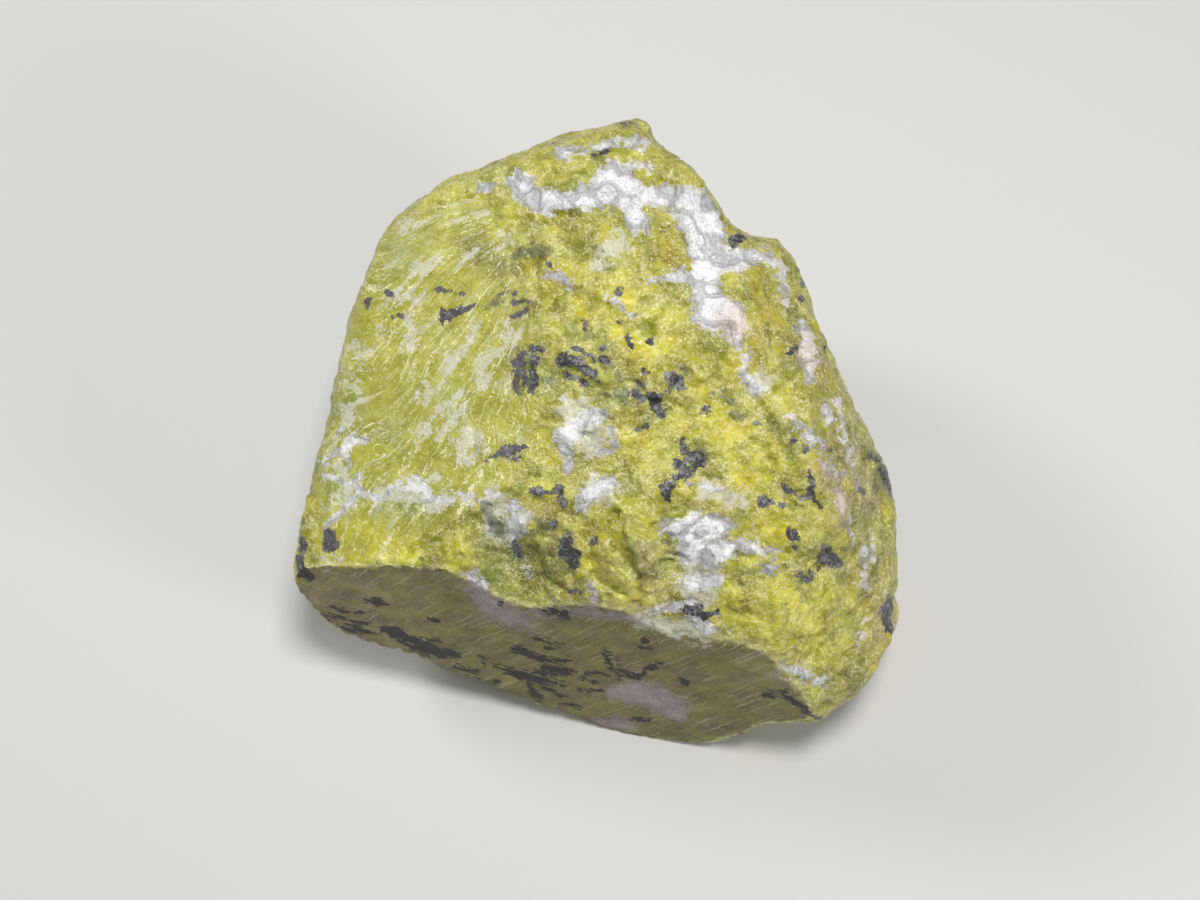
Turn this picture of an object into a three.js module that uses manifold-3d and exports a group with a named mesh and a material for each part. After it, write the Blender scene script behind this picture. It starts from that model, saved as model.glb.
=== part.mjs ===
// Raw lizardite: one broken lump of yellow-green serpentine with one sawn side, lying on its flattest broken side.
// Units are millimetres, +Z is up, and the origin is the middle of the lump's footprint.
//
// The lump is drawn looking square onto its broad face: x across the face, y up the face and z out of it.
// It is shaped in that drawing frame and then tipped over onto the side it rests on.
import * as THREE from 'three';
import { ImprovedNoise } from 'three/addons/math/ImprovedNoise.js';
import { mergeVertices } from 'three/addons/utils/BufferGeometryUtils.js';
import Module from 'manifold-3d';

// --- Driving dimensions ---------------------------------------------------------------------------------------

const RAD = Math.PI / 180;
const TIP = 20; // degrees that the broad face tips up from level when the lump lies on its base
const HEART = [ 0, 0, -8 ]; // a point deep inside, from which every part of the surface can be seen
const HALF_SIZE = [ 68, 70, 40 ]; // rough half width, half length and half depth, to spread the grid evenly
const DETAIL = 21; // the surface is a sphere's grid of 20 * (DETAIL + 1)^2 triangles
const SMOOTHINGS = 4;

// The girdle: the lump's widest outline in the drawing, clockwise from the peak.
const GIRDLE = [
	[ 4.9, 74.9 ], [ 8.1, 74.7 ], [ 10.1, 73.1 ], [ 14.0, 67.0 ], [ 18.0, 65.2 ], [ 20.7, 63.9 ], [ 22.5, 60.8 ],
	[ 25.4, 57.2 ], [ 27.0, 54.0 ], [ 31.1, 48.8 ], [ 36.0, 47.5 ], [ 40.1, 47.7 ], [ 42.1, 46.1 ], [ 45.2, 41.0 ],
	[ 47.3, 34.2 ], [ 48.4, 29.3 ], [ 51.5, 22.5 ], [ 54.7, 14.8 ], [ 58.0, 7.2 ], [ 62.1, 1.1 ], [ 65.3, -4.5 ],
	[ 66.4, -7.2 ], [ 66.0, -10.1 ], [ 66.8, -14.6 ], [ 65.9, -22.1 ], [ 67.9, -26.1 ], [ 67.0, -30.4 ],
	[ 65.9, -34.9 ], [ 65.5, -42.8 ], [ 61.7, -49.1 ], [ 59.9, -52.6 ], [ 54.5, -57.0 ], [ 49.5, -61.2 ],
	[ 45.0, -61.7 ], [ 38.3, -61.2 ], [ 32.6, -63.2 ], [ 23.6, -66.4 ], [ 18.0, -65.7 ], [ 9.0, -64.8 ],
	[ 0.0, -63.5 ], [ -12.4, -59.9 ], [ -20.3, -58.3 ], [ -27.0, -54.9 ], [ -32.6, -52.9 ], [ -36.5, -49.1 ],
	[ -45.0, -46.6 ], [ -57.4, -41.6 ], [ -65.3, -35.3 ], [ -69.8, -28.6 ], [ -67.0, -18.0 ], [ -64.4, -4.5 ],
	[ -60.5, 11.3 ], [ -57.4, 23.6 ], [ -56.3, 31.5 ], [ -52.2, 41.0 ], [ -50.4, 47.3 ], [ -43.7, 55.1 ],
	[ -37.4, 57.4 ], [ -36.7, 59.4 ], [ -27.5, 63.5 ], [ -20.3, 66.2 ], [ -9.0, 70.2 ], [ 3.2, 73.6 ],
];
const TAPER = 1 / 400; // how much wider the girdle gets per mm behind the drawing plane

// Below the girdle the wall is worn back to a rounder outline.
const WORN = { inset: 3, turns: [ -15, -10, -5, 0, 5, 10, 15 ], from: -6, to: -26, slope: 0.45 };

// Broken faces: the way each one faces, and a point that it passes through.
const BROKEN = [
	{ name: 'broad face', faces: [ 0.04, -0.14, 0.99 ], at: [ 5, 11, 27 ] },
	{ name: 'top strip', faces: [ -0.12, 0.72, 0.68 ], at: [ 0, 53, 30 ] },
	{ name: 'white shoulder', faces: [ 0.48, 0.4, 0.78 ], at: [ 24, 34, 21 ] },
	{ name: 'right flank', faces: [ 0.84, 0.1, 0.53 ], at: [ 54.5, -8, 12 ] },
	{ name: 'lower slope', faces: [ -0.09, -0.49, 0.87 ], at: [ 0, -16, 25.5 ] },
	{ name: 'lower right', faces: [ 0.5, -0.38, 0.78 ], at: [ 40, -38, 13.5 ] },
	{ name: 'left side', faces: [ -0.97, 0.06, -0.22 ], at: [ -70, 0, 0 ] },
	{ name: 'upper left side', faces: [ -0.66, 0.7, -0.28 ], at: [ -50, 56, -4 ] },
	{ name: 'top side', faces: [ -0.1, 0.93, -0.36 ], at: [ 0, 79, -4 ] },
	{ name: 'back top', faces: [ 0.12, 0.72, -0.68 ], at: [ 10, 66, -28 ] },
	{ name: 'back right side', faces: [ 0.7, 0.44, -0.56 ], at: [ 46, 42, -18 ] },
	{ name: 'right side', faces: [ 0.95, -0.05, -0.3 ], at: [ 74, -25, -8 ] },
	{ name: 'right foot', faces: [ 0.66, -0.02, -0.75 ], at: [ 58, -20, -42 ] },
	{ name: 'lower right side', faces: [ 0.74, -0.62, -0.26 ], at: [ 60, -58, -6 ] },
	{ name: 'back left side', faces: [ -0.78, 0.16, -0.6 ], at: [ -58, 5, -26 ] },
	{ name: 'back left corner', faces: [ -0.5, 0.62, -0.6 ], at: [ -38, 44, -30 ] },
	{ name: 'undercut', faces: [ -0.4, -0.56, -0.73 ], at: [ -50, -53, -14 ] },
	{ name: 'underside', faces: [ 0.02, -0.32, -0.947 ], at: [ 10, 0, -57 ] },
];
const BROKEN_EDGE = 2.5; // rounding where two broken faces meet

// The relief on the broken faces: broad rolls, scoops left by flakes, and smaller chips.
const ROLLS = { wave: 34, height: 1.4 };
const FLAKES = { wave: 19, height: 6.5, frontHeight: 3 };
const CHIPS = { wave: 10, height: 1.4 };

// The face at the left is sheared, so it is nearly flat and meets the broad face in a soft bend.
const SHEARED = { faces: [ -0.36, 0.04, 0.93 ], at: [ -10, 10, 25 ] };
const SHEARED_EDGE = 8;
const SHEARED_ROLLS = { wave: 24, height: 0.8 };

// The saw cut one side flat, and the base is where the underside touches the ground.
const SAWN = { faces: [ -0.19, -0.81, 0.56 ], at: [ -27, -25.6, 18.8 ] };
const BASE = { faces: [ 0, - Math.sin( TIP * RAD ), - Math.cos( TIP * RAD ) ], at: [ 20, -71.6, -32 ] };
const BLOCK = 300; // size of the blocks that cut these two flats

// Swells and hollows of the broad face: middle, half length, half width, turn in degrees, and height.
const SWELLS = [
	{ name: 'white hollow', at: [ 21, -27 ], half: [ 13, 7 ], turn: -12, height: -4.2 },
	{ name: 'green recess', at: [ -20, -24 ], half: [ 7, 9 ], turn: 20, height: -3.5 },
	{ name: 'sunken lip over the saw cut', at: [ 4, -42 ], half: [ 22, 7 ], turn: -12, height: -2 },
	{ name: 'notch in the rim of the cut', at: [ -19, -33 ], half: [ 9, 8 ], turn: 0, height: -6 },
	{ name: 'spur', at: [ 4, -22 ], half: [ 12, 4.5 ], turn: -62, height: 3 },
	{ name: 'brow over the hollow', at: [ 16, -13 ], half: [ 16, 5 ], turn: -16, height: 2 },
	{ name: 'hump in the middle', at: [ -2, 14 ], half: [ 14, 10 ], turn: -40, height: 1.5 },
	{ name: 'dip beside the sheared face', at: [ -12, -4 ], half: [ 8, 6 ], turn: 30, height: -1.5 },
	{ name: 'swell of the sheared face', at: [ -40, -18 ], half: [ 12, 6 ], turn: 5, height: 1.5 },
	{ name: 'right ridge', at: [ 39, 0 ], half: [ 24, 4 ], turn: -56, height: 1.5 },
	{ name: 'groove under the right ridge', at: [ 41, -25 ], half: [ 13, 3.5 ], turn: -12, height: -2.5 },
	{ name: 'knob at the white shoulder', at: [ 30, 30 ], half: [ 6, 8 ], turn: 10, height: 2 },
];

// --- Distances from the heart to the faces --------------------------------------------------------------------

const FAR = 1000; // stands for a face that a direction never meets
const heart = new THREE.Vector3( ...HEART );

// Distance along a direction to a plane face.
function reach( face, way ) {

	const normal = new THREE.Vector3( ...face.faces ).normalize();
	const towards = normal.dot( way );
	if ( towards < 1e-3 ) return FAR;
	return normal.dot( new THREE.Vector3( ...face.at ).sub( heart ) ) / towards;

}

// How far the girdle lies from the middle of the drawing at an angle.
const girdle = GIRDLE.map( ( [ x, y ] ) => ( { angle: Math.atan2( y, x ), x, y } ) );
girdle.sort( ( a, b ) => a.angle - b.angle );

function girdleRadius( angle ) {

	angle -= 2 * Math.PI * Math.round( angle / ( 2 * Math.PI ) );
	let next = girdle.findIndex( ( p ) => p.angle > angle );
	if ( next < 0 ) next = 0;
	const a = girdle[ ( next + girdle.length - 1 ) % girdle.length ];
	const b = girdle[ next ];
	return ( a.x * b.y - a.y * b.x ) / ( Math.cos( angle ) * ( b.y - a.y ) - Math.sin( angle ) * ( b.x - a.x ) );

}

function wornRadius( angle ) {

	const around = WORN.turns.map( ( turn ) => girdleRadius( angle + turn * RAD ) );
	return around.reduce( ( sum, radius ) => sum + radius ) / around.length - WORN.inset;

}

// Distance along a direction to the wall that runs back from an outline, widening as it goes.
function wallReach( radius, way ) {

	const wide = radius( Math.atan2( way.y, way.x ) );
	const closing = Math.hypot( way.x, way.y ) + wide * TAPER * way.z;
	return closing > 0 ? wide * ( 1 - heart.z * TAPER ) / closing : FAR;

}

// The smaller of two distances, rounded over where they meet.
function softMin( a, b, round ) {

	const h = Math.max( round - Math.abs( a - b ), 0 ) / round;
	return Math.min( a, b ) - h * h * round / 4;

}

// --- Relief ---------------------------------------------------------------------------------------------------

const noise = new ImprovedNoise();

// Noise at one wavelength, at half of it and at a quarter of it.
function rolling( p, { wave, height } ) {

	let sum = 0;
	for ( const part of [ 1, 2, 4 ] ) {

		const scale = part / wave;
		sum += noise.noise( p.x * scale + 7 * part, p.y * scale + 31, p.z * scale - 5 ) / part;

	}

	return height * sum;

}

// Shallow scoops that meet in ridges: the squared distance to the nearest of many scattered points.
function flaked( p, { wave } ) {

	const here = [ p.x, p.y, p.z ].map( ( v ) => v / wave );
	let nearest = FAR;
	for ( const i of [ -1, 0, 1 ] ) for ( const j of [ -1, 0, 1 ] ) for ( const k of [ -1, 0, 1 ] ) {

		const cell = [ i, j, k ].map( ( step, axis ) => Math.floor( here[ axis ] ) + step );
		const [ dx, dy, dz ] = cell.map( ( c, axis ) => {

			const stray = noise.noise( cell[ 0 ] * 0.73 + axis * 11.1, cell[ 1 ] * 0.57 + 3.3, cell[ 2 ] * 0.61 + axis * 5.7 );
			return c + 0.5 + 0.9 * stray - here[ axis ];

		} );
		nearest = Math.min( nearest, dx * dx + dy * dy + dz * dz );

	}

	return nearest - 0.25;

}

// How far the swells and hollows lift the broad face at a point.
function swell( p ) {

	if ( p.z < 0 ) return 0;
	let lift = 0;
	for ( const { at, half, turn, height } of SWELLS ) {

		const dx = p.x - at[ 0 ], dy = p.y - at[ 1 ];
		const cos = Math.cos( turn * RAD ), sin = Math.sin( turn * RAD );
		const along = ( dx * cos + dy * sin ) / half[ 0 ];
		const across = ( dy * cos - dx * sin ) / half[ 1 ];
		lift += height * Math.exp( - along * along - across * across );

	}

	return lift;

}

// Distance from the heart to the finished surface along a direction.
function surface( way ) {

	const wall = wallReach( girdleRadius, way );
	const low = heart.z + wall * ( way.z - WORN.slope * Math.min( way.y, 0 ) );
	const worn = 1 - THREE.MathUtils.smoothstep( low, WORN.to, WORN.from );
	let far = THREE.MathUtils.lerp( wall, Math.min( wall, wallReach( wornRadius, way ) ), worn );
	for ( const face of BROKEN ) far = softMin( far, reach( face, way ), BROKEN_EDGE );

	const p = way.clone().multiplyScalar( far ).add( heart );
	const front = THREE.MathUtils.smoothstep( p.z, -4, 12 );
	const flakeHeight = THREE.MathUtils.lerp( FLAKES.height, FLAKES.frontHeight, front );
	far += rolling( p, ROLLS ) + flakeHeight * flaked( p, FLAKES ) + CHIPS.height * flaked( p, CHIPS ) + swell( p );

	const sheared = reach( SHEARED, way ) + rolling( p, SHEARED_ROLLS ) + 0.5 * swell( p );
	far = softMin( far, sheared, SHEARED_EDGE );
	return softMin( far, wall, 1 );

}

// --- The lump -------------------------------------------------------------------------------------------------

// Leaves only the corner positions, and merges the corners that coincide.
function merged( geometry ) {

	geometry.deleteAttribute( 'normal' );
	geometry.deleteAttribute( 'uv' );
	return mergeVertices( geometry, 1e-4 );

}

const lump = merged( new THREE.IcosahedronGeometry( 1, DETAIL ) );
const corners = lump.attributes.position;
const halfSize = new THREE.Vector3( ...HALF_SIZE );
for ( let i = 0; i < corners.count; i ++ ) {

	const way = new THREE.Vector3().fromBufferAttribute( corners, i ).multiply( halfSize ).normalize();
	const p = way.clone().multiplyScalar( surface( way ) ).add( heart );
	corners.setXYZ( i, p.x, p.y, p.z );

}

// Smoothing in and out by turns takes out the steps where a wall runs along the grid, and keeps the size.
const beside = Array.from( { length: corners.count }, () => new Set() );
for ( let i = 0; i < lump.index.count; i += 3 ) {

	const [ a, b, c ] = [ 0, 1, 2 ].map( ( k ) => lump.index.getX( i + k ) );
	beside[ a ].add( b ).add( c );
	beside[ b ].add( a ).add( c );
	beside[ c ].add( a ).add( b );

}

for ( let round = 0; round < SMOOTHINGS; round ++ ) {

	const pull = round % 2 ? -0.52 : 0.5;
	const before = beside.map( ( _, i ) => new THREE.Vector3().fromBufferAttribute( corners, i ) );
	beside.forEach( ( others, i ) => {

		const middle = new THREE.Vector3();
		for ( const j of others ) middle.addScaledVector( before[ j ], 1 / others.size );
		const p = before[ i ].clone().lerp( middle, pull );
		corners.setXYZ( i, p.x, p.y, p.z );

	} );

}

// --- The saw cut and the base ---------------------------------------------------------------------------------

const wasm = await Module();
wasm.setup();

function solid( geometry ) {

	const { attributes, index } = merged( geometry );
	return new wasm.Manifold( new wasm.Mesh( {
		numProp: 3,
		vertProperties: attributes.position.array,
		triVerts: new Uint32Array( index.array ),
	} ) );

}

// A block that fills everything beyond a flat face.
function beyond( face ) {

	const block = new THREE.BoxGeometry( BLOCK, BLOCK, BLOCK );
	const out = new THREE.Vector3( ...face.faces ).normalize();
	block.translate( 0, 0, BLOCK / 2 );
	block.applyQuaternion( new THREE.Quaternion().setFromUnitVectors( new THREE.Vector3( 0, 0, 1 ), out ) );
	return block.translate( ...face.at );

}

const cut = solid( lump ).subtract( solid( beyond( SAWN ) ) ).subtract( solid( beyond( BASE ) ) );
const { vertProperties, triVerts } = cut.getMesh();
const stone = new THREE.BufferGeometry();
stone.setAttribute( 'position', new THREE.BufferAttribute( vertProperties, 3 ) );
stone.setIndex( new THREE.BufferAttribute( triVerts, 1 ) );

// Tipped onto its base, with the origin in the middle of the footprint.
stone.rotateX( TIP * RAD );
stone.computeBoundingBox();
const { min, max } = stone.boundingBox;
stone.translate( - ( min.x + max.x ) / 2, - ( min.y + max.y ) / 2, - min.z );
stone.computeVertexNormals();

const serpentine = new THREE.MeshStandardMaterial( { color: 0xb3ac5a, roughness: 0.5, metalness: 0 } );
const lizardite = new THREE.Mesh( stone, serpentine );
lizardite.name = 'lizardite';

const part = new THREE.Group();
part.add( lizardite );
export default part;
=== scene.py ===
import math
import random

import bmesh
import bpy
import numpy as np
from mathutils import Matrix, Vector, noise


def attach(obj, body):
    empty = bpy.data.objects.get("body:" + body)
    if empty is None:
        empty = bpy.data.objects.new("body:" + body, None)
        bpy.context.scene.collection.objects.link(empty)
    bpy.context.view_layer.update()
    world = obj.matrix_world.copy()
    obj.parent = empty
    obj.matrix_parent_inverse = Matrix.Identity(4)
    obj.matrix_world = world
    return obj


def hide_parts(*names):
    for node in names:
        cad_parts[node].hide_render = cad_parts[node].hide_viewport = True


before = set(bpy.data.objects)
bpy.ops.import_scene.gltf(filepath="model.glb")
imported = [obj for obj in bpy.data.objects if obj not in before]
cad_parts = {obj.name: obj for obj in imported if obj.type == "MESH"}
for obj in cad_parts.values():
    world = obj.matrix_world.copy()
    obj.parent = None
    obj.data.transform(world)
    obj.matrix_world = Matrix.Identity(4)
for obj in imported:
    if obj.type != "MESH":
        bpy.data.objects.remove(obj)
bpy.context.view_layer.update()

# --- The lump -------------------------------------------------------------------------
# One lump of raw yellow-green serpentine, broken out of its bed and sawn along one side. The CAD solid
# gives its size and its main faces. Here it becomes one closed skin, fine enough for the grain of the
# break: a voxel grid drawn back onto the solid, smoothed, and halved where it faces the broad face's way.

MM = 0.001
GRAIN = 1.27 * MM  # spacing of the skin's grid, before halving
MELTS = 5  # rounds of smoothing before halving and after it, which take out the solid's flat facets
WELD = 0.01 * MM  # the CAD solid is loose triangles, whose corners are merged within this
FACES_VIEW = 0.2  # a face that leans this far towards the broad face's way out is halved
ON_CUT = 0.02  # mm, how near the plane of the saw cut a corner counts as lying on it
# One place near the top edge wants more smoothing: its middle, reach and rounds.
SHARP_PLACE = Vector((20, 55, 82)) * MM
SHARP_REACH = 16 * MM
SHARP_MELTS = 12


def new_object(name, data):
    thing = bpy.data.objects.new(name, data)
    bpy.context.scene.collection.objects.link(thing)
    return thing


cad_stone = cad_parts["lizardite"]
stone = new_object("raw_stone", bpy.data.meshes.new("raw_stone"))

merged = bmesh.new()
merged.from_mesh(cad_stone.data)
bmesh.ops.remove_doubles(merged, verts=merged.verts, dist=WELD)
merged.to_mesh(stone.data)
merged.free()

grid = stone.modifiers.new("grid", "REMESH")
grid.mode = "VOXEL"
grid.voxel_size = GRAIN
hug = stone.modifiers.new("hug", "SHRINKWRAP")
hug.target = cad_stone
even_skin = bpy.data.meshes.new_from_object(stone.evaluated_get(bpy.context.evaluated_depsgraph_get()))
stone.modifiers.clear()
stone.data = even_skin

# The drawing frame looks square onto the broad face: x across it, y up it and z out of it, in mm from the
# lump's middle. The lump lies with that face tipped up by 20 degrees.
TIP = math.radians(20)
MIDDLE = Vector((-0.19, -8.95, 54.56)) * MM
ACROSS = Vector((1, 0, 0))
UP = Vector((0, math.cos(TIP), math.sin(TIP)))
OUT = Vector((0, -math.sin(TIP), math.cos(TIP)))
FACE_AXES = np.array((ACROSS, UP, OUT))


def drawn(places):
    """Places in the row frame, in metres, as points of the drawing frame."""
    return (np.asarray(places) - np.array(MIDDLE)) @ FACE_AXES.T / MM


def placed(points):
    """Points of the drawing frame as places in the row frame, in metres."""
    return points @ FACE_AXES * MM + np.array(MIDDLE)


def unit(vector):
    return np.array(vector, float) / np.linalg.norm(vector)


SAW_FACES = unit((-0.19, -0.81, 0.56))
SAW_THROUGH = np.array((-27, -25.6, 18.8))


def above_saw(points):
    """How far points lie outside the plane of the saw cut, in mm."""
    return (points - SAW_THROUGH) @ SAW_FACES


def smooth(verts, rounds, factor=0.5):
    """Draws corners of the skin towards the middle of their neighbours."""
    axes = {"use_axis_x": True, "use_axis_y": True, "use_axis_z": True}
    for _ in range(rounds):
        bmesh.ops.smooth_vert(skin, verts=verts, factor=factor, **axes)


def broken_verts():
    """The corners of the skin that aren't on the saw cut."""
    skin.verts.index_update()
    height = above_saw(drawn([v.co for v in skin.verts]))
    return [v for v in skin.verts if height[v.index] < -ON_CUT]


skin = bmesh.new()
skin.from_mesh(stone.data)
smooth(broken_verts(), MELTS)
skin.normal_update()
towards_view = [e for f in skin.faces if f.normal.dot(OUT) > FACES_VIEW for e in f.edges]
bmesh.ops.subdivide_edges(skin, edges=list(set(towards_view)), cuts=1, use_grid_fill=True)
broken = broken_verts()
smooth(broken, MELTS)
smooth([v for v in broken if (v.co - SHARP_PLACE).length < SHARP_REACH], SHARP_MELTS)
skin.normal_update()
skin.verts.index_update()
skin.verts.ensure_lookup_table()

points = drawn([v.co for v in skin.verts])
normals = np.array([v.normal for v in skin.verts]) @ FACE_AXES.T
is_broken = np.zeros(len(points), bool)
is_broken[[v.index for v in broken]] = True

# --- Where things lie on the broad face -----------------------------------------------
# Ledges and marks are laid out on a view square onto the broad face, from 400 mm away. The view is 1200
# by 900 steps of 0.225 mm, counted from its upper left corner. A stroke is a run of (x, y, half width) in
# those steps, and a stroke of one point is a spot.

STEP = 0.225  # mm, at the depth of the lump's middle
VIEW_MIDDLE = (600, 450)
VIEW_DISTANCE = 400  # mm
FAR = 20.0  # mm, stands for anything further from a mark than that

nearer = VIEW_DISTANCE / (VIEW_DISTANCE - points[:, 2])
view_x = VIEW_MIDDLE[0] + points[:, 0] * nearer / STEP
view_y = VIEW_MIDDLE[1] - points[:, 1] * nearer / STEP
towards = np.array((0, 0, VIEW_DISTANCE)) - points
towards /= np.linalg.norm(towards, axis=1)[:, None]
facing = np.einsum("ij,ij->i", towards, normals)


def ramp(values, start, end):
    """0 at start and 1 at end, with an easy curve between."""
    t = np.clip((values - start) / (end - start), 0, 1)
    return t * t * (3 - 2 * t)


EDGE_OF_VIEW = 0.12  # how far either side of the outline the marks of the view die out
in_view = ramp(facing, -EDGE_OF_VIEW, EDGE_OF_VIEW)  # 0 on the sides that the broad face hides


def off_line(x, y, start, end):
    """How far along the line from start to end each (x, y) lies, 0 to 1, and the steps off it."""
    dx = end[0] - start[0]
    dy = end[1] - start[1]
    along = ((x - start[0]) * dx + (y - start[1]) * dy) / max(dx * dx + dy * dy, 1e-9)
    along = np.clip(along, 0, 1)
    return along, x - start[0] - along * dx, y - start[1] - along * dy


def gap_to(strokes):
    """Distance in mm from every point to the edge of the nearest stroke, negative within it."""
    nearest = np.full(len(points), FAR)
    for stroke in strokes:
        for start, end in zip(stroke, stroke[1:] or stroke):
            along, off_x, off_y = off_line(view_x, view_y, start, end)
            away = np.hypot(off_x, off_y) - start[2] - along * (end[2] - start[2])
            nearest = np.minimum(nearest, away * STEP)
    return np.where(in_view > 0, nearest + (1 - in_view) * FAR, FAR)


def cloud(wave, octaves, place=(0, 0, 0), rough=1.0):
    """Cloudy noise at every point, about -1 to 1, with clouds of that wave in mm."""
    shift = Vector(place)
    return np.array([noise.fractal(Vector(p) / wave + shift, rough, 2.0, octaves) for p in points])


# --- The sheared face -----------------------------------------------------------------
# At the left the rock parted along a slip plane, so it is nearly flat there. Fine ribs and pale streaks
# fan out over it from a point near the top, so it gets a place along and across that fan.

SHEARED_AREA = (
    ((462, 232, 40), (455, 330, 82), (445, 420, 92)), ((445, 420, 92), (385, 480, 72), (360, 520, 50)),
    ((420, 245, 45), (370, 330, 70), (350, 400, 60)),
)
FAN_POINT = (580, 170)
FAN_TURN = 60  # mm across the streaks for each radian of the fan
FAN_WANDER = (24, 4)  # mm wave, mm either way
SHEARED_EDGE = (-1.5, 3)  # mm out of the area and into it, over which the face changes

sheared = ramp(-gap_to(SHEARED_AREA) + 2 * cloud(8, 2), *SHEARED_EDGE) * in_view * is_broken
fan_along = np.hypot(view_x - FAN_POINT[0], view_y - FAN_POINT[1]) * STEP
fan_across = np.arctan2(view_y - FAN_POINT[1], FAN_POINT[0] - view_x) * FAN_TURN
fan_across += FAN_WANDER[1] * cloud(FAN_WANDER[0], 2, (5, 5, 5))

# --- The broken faces -----------------------------------------------------------------
# Everywhere else the rock broke in chips and splinters a few mm across, with small steps between them.
# Every corner of the skin is lifted along its normal by flat leaning chips, scoops and cloudy grain.

CHIP_SEED = 4
CHIPS = ((13.0, 0.16), (5.4, 0.36), (2.4, 0.30))  # mm across, and how steeply the chips lean
CHIP_WANDER = 0.4  # how far the edges between chips wander, in chips
CHIP_EDGE = 0.15  # how wide a chip's worn edge is, in chips
SCOOPS = (9.0, 0.9)  # mm across, and mm deep
SCOOP_WANDER = 0.25  # how far the ridges between scoops wander, in scoops
ROUGHNESS = (1.8, 0.14)  # mm wave, mm height
RIBS = (3.4, 18.0, 0.36)  # mm across and along the fan, and mm high
SMOOTHER_SHEARED = (0.88, 0.5)  # how much less the sheared face has of the chips, and of the grain
SMOOTHER_OUTLINE = 0.3  # how much less the chips lift at the outline
AT_OUTLINE = (0.35, 0.05)  # how far a normal faces the view where that sets in, and where it is full
PROUD = (  # knobs on the outline: middle, mm reach, mm high
    ((68, -38, -20.5), 9, 2.2),
    ((9.5, 73, -1), 5, 1.6),
)


def chip_height(point, size, lean):
    """Height of the flat chip at a point. Each chip leans its own way, and levels off at its edge."""
    here = point / size
    here += noise.noise_vector(here * 1.7) * CHIP_WANDER
    distances, centres = noise.voronoi(here)
    way = noise.cell_vector(centres[0] * 9.7) - Vector((0.5, 0.5, 0.5))
    inside = min((distances[1] - distances[0]) / CHIP_EDGE, 1)
    return size * lean * way.dot(here - centres[0]) * inside * (2 - inside)


def scoop_height(point, size, depth):
    """Shallow scoops that meet in ridges."""
    here = point / size
    here += noise.noise_vector(here * 1.3) * SCOOP_WANDER
    return depth * (noise.voronoi(here)[0][0] ** 2 - 0.2)


noise.seed_set(CHIP_SEED)
chips = np.zeros(len(points))
ribs = np.zeros(len(points))
for i, place in enumerate(points):
    point = Vector(place)
    chips[i] = sum(chip_height(point, size, lean) for size, lean in CHIPS) + scoop_height(point, *SCOOPS)
    if sheared[i] > 0:
        rib_place = Vector((fan_across[i] / RIBS[0], fan_along[i] / RIBS[1], 0))
        ribs[i] = RIBS[2] * noise.fractal(rib_place, 1.0, 2.0, 3)
fine = ROUGHNESS[1] * cloud(ROUGHNESS[0], 3)
at_outline = ramp(np.abs(facing), *AT_OUTLINE)
lift = chips * (1 - SMOOTHER_SHEARED[0] * sheared) * (1 - SMOOTHER_OUTLINE * at_outline)
lift += fine * (1 - SMOOTHER_SHEARED[1] * sheared) + ribs * sheared
for middle, reach, high in PROUD:
    lift += high * ramp(np.linalg.norm(points - middle, axis=1), reach, 0)

# --- Ledges and hollows ---------------------------------------------------------------
# Crisp steps where one layer of the rock broke off over the next. Each is a run of (x, y, mm), and going
# along it the rock is that many mm up on the left hand and as many down on the right. The last number is
# how far from the run that dies out, in mm.

LEDGES = {
    "brow over the white hollow": (
        ((730, 508, 0), (700, 512, 0.8), (677, 519, 1.5), (661, 528, 2.0), (650, 533, 2.2),
         (631, 530, 2.2), (620, 525, 1.8), (600, 519, 0.8), (588, 512, 0)), 7.0),
    "right ledge": (
        ((832, 556, 0), (816, 556, 1.0), (789, 556, 1.8), (768, 551, 2.0), (749, 545, 1.8),
         (728, 531, 0.9), (716, 520, 0)), 6.0),
    "right edge of the spur": (
        ((596, 486, 0), (607, 500, 0.9), (620, 518, 1.9), (631, 536, 2.5), (637, 560, 2.5),
         (640, 580, 1.7), (644, 600, 0)), 6.0),
    "left fold of the spur": (
        ((640, 614, 0), (622, 604, 0.8), (604, 592, 1.5), (592, 574, 1.9), (584, 555, 1.9),
         (577, 535, 1.3), (572, 515, 0)), 5.0),
    "edge of the recess": (
        ((492, 600, 0), (478, 585, 1.0), (470, 565, 1.6), (468, 540, 1.8), (474, 518, 1.4),
         (488, 502, 1.0), (512, 492, 0.8), (540, 497, 0.9), (556, 506, 0.5), (566, 516, 0)), 5.0),
    "lip under the sheared face": (
        ((444, 538, 0), (433, 548, 0.9), (402, 555, 0.8), (378, 561, 0.6), (352, 562, 0)), 4.0),
    "main ridge": (
        ((700, 330, 0), (724, 352, 0.5), (747, 385, 0.6), (761, 404, 0.7), (772, 421, 0.6),
         (787, 447, 0.7), (802, 465, 0.6), (814, 490, 0.5), (822, 520, 0)), 6.0),
    "edge of the flank": (
        ((826, 392, 0), (839, 421, 0.9), (850, 465, 1.2), (854, 495, 1.2), (854, 540, 0.9),
         (852, 575, 0)), 5.0),
    "scarp under the white line": (
        ((541, 272, 0), (567, 283, 0.5), (592, 297, 0.7), (612, 304, 0.6), (640, 318, 0)), 4.0),
    "shelf under the white band": (
        ((512, 196, 0), (540, 207, 0.6), (575, 209, 0.8), (610, 205, 0.8), (640, 214, 0.7),
         (655, 232, 0.5), (660, 250, 0)), 4.0),
    "top strip": (
        ((640, 142, 0), (615, 139, 0.5), (585, 145, 0.6), (555, 152, 0.5), (530, 165, 0)), 4.0),
}
LEDGE_EDGE = 0.5  # mm, how wide the edge of a ledge is
LEDGE_WANDER = ((4, 5), (11, 8))  # mm wave, steps of the view either way


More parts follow.
